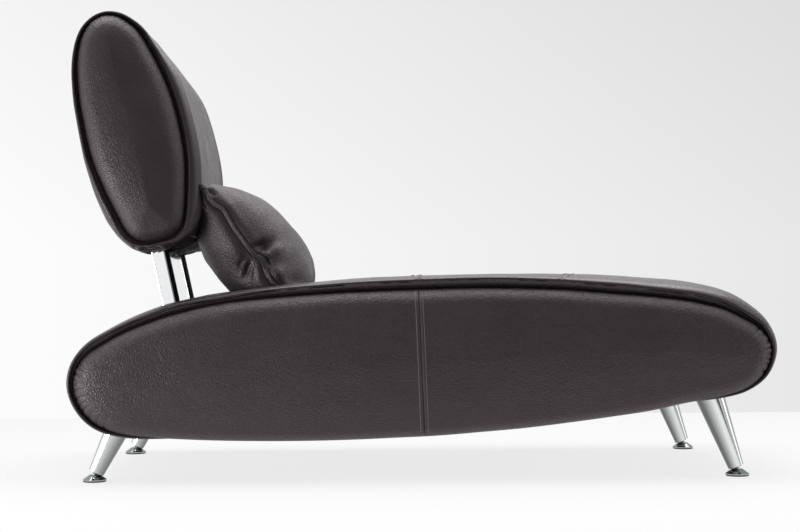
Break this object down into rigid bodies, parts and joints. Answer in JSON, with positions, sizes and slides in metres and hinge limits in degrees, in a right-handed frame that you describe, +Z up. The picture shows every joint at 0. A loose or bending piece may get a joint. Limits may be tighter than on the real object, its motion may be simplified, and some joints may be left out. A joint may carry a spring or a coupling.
{
  "type": "chaise longue",
  "caption": "Leather chaise longue with a long lens-shaped seat, oval backrest on metal posts, loose cushion and tapered metal legs with levelling feet.",
  "frame": {"origin": "on the floor under the middle of the object's bounding box", "axes": "+X to the foot end, +Y to the left of a sitter who faces the foot end, +Z up"},
  "size_m": [1.528, 0.768, 1.0248],
  "materials": {
    "leather": "dark brown grained leather, semi-matt",
    "wood": "raw plywood and timber",
    "foam": "upholstery foam and wadding",
    "webbing": "woven elastic webbing",
    "cloth": "black non-woven cloth",
    "chrome": "bright chrome",
    "satin_metal": "satin chromed tube",
    "steel": "zinc-plated steel",
    "rubber": "black rubber"
  },
  "bodies": {
    "frame": {"seat_former_right": "wood", "seat_former_left": "wood", "head_rail": "wood", "middle_rail": "wood", "foot_rail": "wood", "head_leg_board": "wood", "foot_leg_board": "wood", "post_beam": "wood", "wood_screws": "steel", "seat_webbing": "webbing", "seat_foam": "foam", "seat_side_pad_right": "foam", "seat_side_pad_left": "foam", "seat_band_cover": "leather", "seat_side_cover_right": "leather", "seat_side_cover_left": "leather", "seat_piping_right": "leather", "seat_piping_left": "leather", "seat_bottom_cloth": "cloth", "back_post_right": "chrome", "back_post_left": "chrome", "post_bolts": "steel", "back_bolts": "steel", "tee_nuts": "steel", "back_board": "wood", "back_former_right": "wood", "back_former_left": "wood", "back_foam": "foam", "back_side_pad_right": "foam", "back_side_pad_left": "foam", "back_band_cover": "leather", "back_side_cover_right": "leather", "back_side_cover_left": "leather", "back_piping_right": "leather", "back_piping_left": "leather", "back_closure": "leather", "leg_head_right": "satin_metal", "leg_head_left": "satin_metal", "leg_foot_right": "satin_metal", "leg_foot_left": "satin_metal", "leg_bolts": "steel", "leg_inserts": "steel"},
    "ball_head_right": {"glide_ball_head_right": "steel"},
    "stem_head_right": {"glide_stem_head_right": "steel"},
    "pad_head_right": {"glide_pad_head_right": "chrome", "glide_sole_head_right": "rubber"},
    "ball_head_left": {"glide_ball_head_left": "steel"},
    "stem_head_left": {"glide_stem_head_left": "steel"},
    "pad_head_left": {"glide_pad_head_left": "chrome", "glide_sole_head_left": "rubber"},
    "ball_foot_right": {"glide_ball_foot_right": "steel"},
    "stem_foot_right": {"glide_stem_foot_right": "steel"},
    "pad_foot_right": {"glide_pad_foot_right": "chrome", "glide_sole_foot_right": "rubber"},
    "ball_foot_left": {"glide_ball_foot_left": "steel"},
    "stem_foot_left": {"glide_stem_foot_left": "steel"},
    "pad_foot_left": {"glide_pad_foot_left": "chrome", "glide_sole_foot_left": "rubber"},
    "cushion": {"cushion_cover": "leather", "cushion_fill": "foam"}
  },
  "joints": [
    {"name": "lift_head_right", "type": "slide", "parent": "frame", "child": "ball_head_right", "axis": [-0.4384, 0, -0.8988], "range_m": [0, 0.012]},
    {"name": "turn_head_right", "type": "hinge", "parent": "ball_head_right", "child": "stem_head_right", "pos_m": [-0.709, -0.3, 0.0125], "axis": [-0.4384, 0, -0.8988], "range_deg": [0, 2880]},
    {"name": "swivel_head_right", "type": "hinge", "parent": "ball_head_right", "child": "pad_head_right", "pos_m": [-0.709, -0.3, 0.0125], "axis": [0, 1, 0], "range_deg": [-4, 54]},
    {"name": "lift_head_left", "type": "slide", "parent": "frame", "child": "ball_head_left", "axis": [-0.4384, 0, -0.8988], "range_m": [0, 0.012]},
    {"name": "turn_head_left", "type": "hinge", "parent": "ball_head_left", "child": "stem_head_left", "pos_m": [-0.709, 0.3, 0.0125], "axis": [-0.4384, 0, -0.8988], "range_deg": [0, 2880]},
    {"name": "swivel_head_left", "type": "hinge", "parent": "ball_head_left", "child": "pad_head_left", "pos_m": [-0.709, 0.3, 0.0125], "axis": [0, 1, 0], "range_deg": [-4, 54]},
    {"name": "lift_foot_right", "type": "slide", "parent": "frame", "child": "ball_foot_right", "axis": [0.342, 0, -0.9397], "range_m": [0, 0.012]},
    {"name": "turn_foot_right", "type": "hinge", "parent": "ball_foot_right", "child": "stem_foot_right", "pos_m": [0.681, -0.3, 0.0125], "axis": [0.342, 0, -0.9397], "range_deg": [0, 2880]},
    {"name": "swivel_foot_right", "type": "hinge", "parent": "ball_foot_right", "child": "pad_foot_right", "pos_m": [0.681, -0.3, 0.0125], "axis": [0, 1, 0], "range_deg": [-48, 8]},
    {"name": "lift_foot_left", "type": "slide", "parent": "frame", "child": "ball_foot_left", "axis": [0.342, 0, -0.9397], "range_m": [0, 0.012]},
    {"name": "turn_foot_left", "type": "hinge", "parent": "ball_foot_left", "child": "stem_foot_left", "pos_m": [0.681, 0.3, 0.0125], "axis": [0.342, 0, -0.9397], "range_deg": [0, 2880]},
    {"name": "swivel_foot_left", "type": "hinge", "parent": "ball_foot_left", "child": "pad_foot_left", "pos_m": [0.681, 0.3, 0.0125], "axis": [0, 1, 0], "range_deg": [-48, 8]},
    {"name": "cushion_lift", "type": "slide", "parent": "frame", "child": "cushion", "axis": [0.5, 0, 0.866], "range_m": [0, 0.35]}
  ],
  "couplings": [
    {"joint": "turn_head_right", "follows": "lift_head_right", "rad_per_m": 4188.8},
    {"joint": "turn_head_left", "follows": "lift_head_left", "rad_per_m": 4188.8},
    {"joint": "turn_foot_right", "follows": "lift_foot_right", "rad_per_m": 4188.8},
    {"joint": "turn_foot_left", "follows": "lift_foot_left", "rad_per_m": 4188.8}
  ]
}
